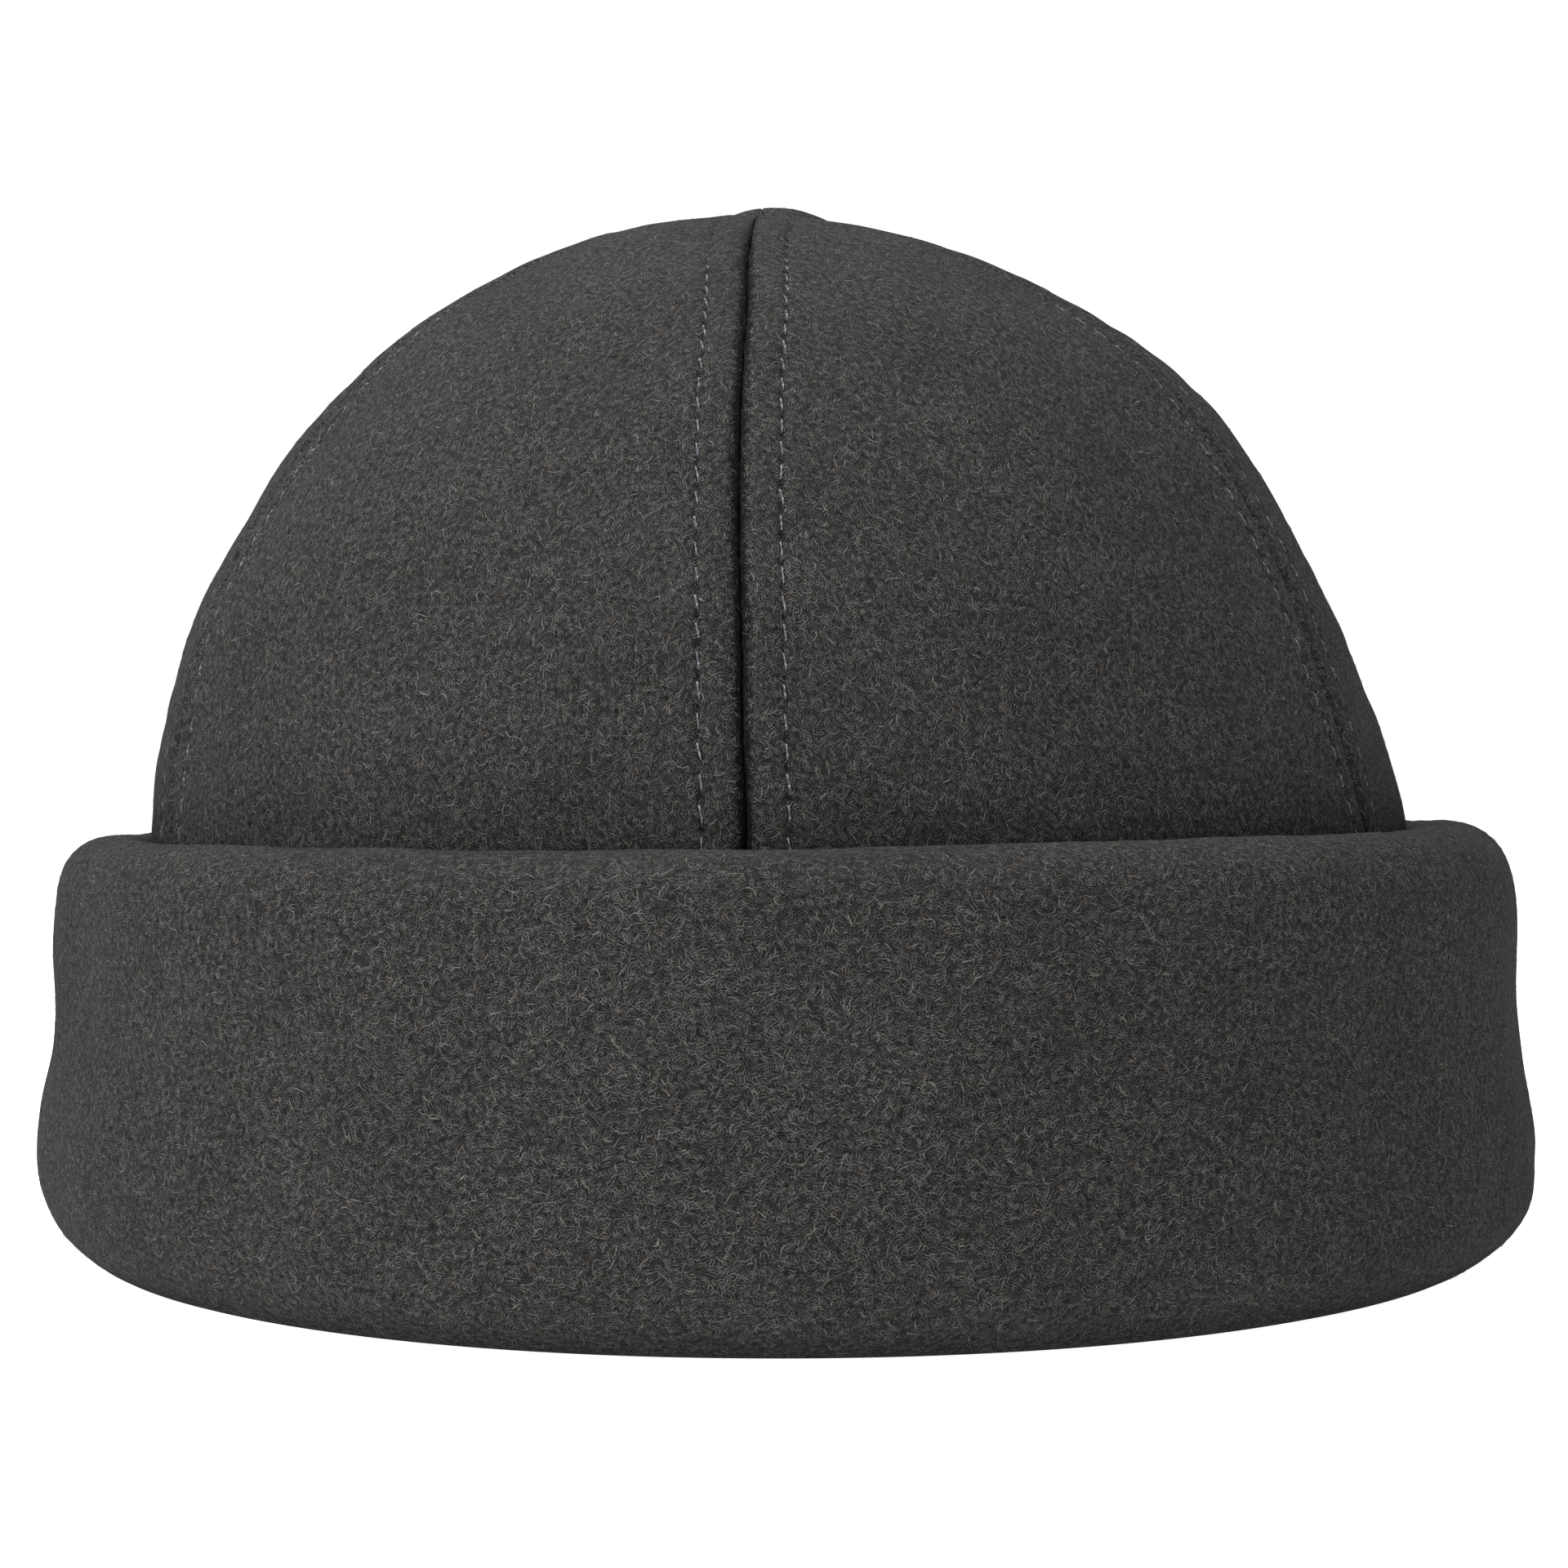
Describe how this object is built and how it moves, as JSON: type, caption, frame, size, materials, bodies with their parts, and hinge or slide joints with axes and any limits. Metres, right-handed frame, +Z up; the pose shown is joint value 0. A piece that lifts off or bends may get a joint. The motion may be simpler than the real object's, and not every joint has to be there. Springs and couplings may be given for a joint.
{
  "type": "felted wool beanie",
  "caption": "Close-fitting felted wool beanie: a rounded crown of curved panels with topstitched seams, and a broad folded cuff that it rests on.",
  "frame": {"origin": "middle of the hat in plan, on the surface that its cuff rests on", "axes": "+Z up to the crown's apex, -Y the front with the front seam, +X the wearer's left"},
  "size_m": [0.198, 0.23, 0.1384],
  "materials": {
    "crown_felt": "charcoal felted wool with a short curly nap",
    "cuff_felt": "charcoal felted wool with a short curly nap"
  },
  "bodies": {
    "root": {"crown_panel_1": "crown_felt", "crown_panel_2": "crown_felt", "crown_panel_3": "crown_felt", "crown_panel_4": "crown_felt", "crown_panel_5": "crown_felt", "crown_panel_6": "crown_felt", "cuff": "cuff_felt"}
  },
  "joints": []
}
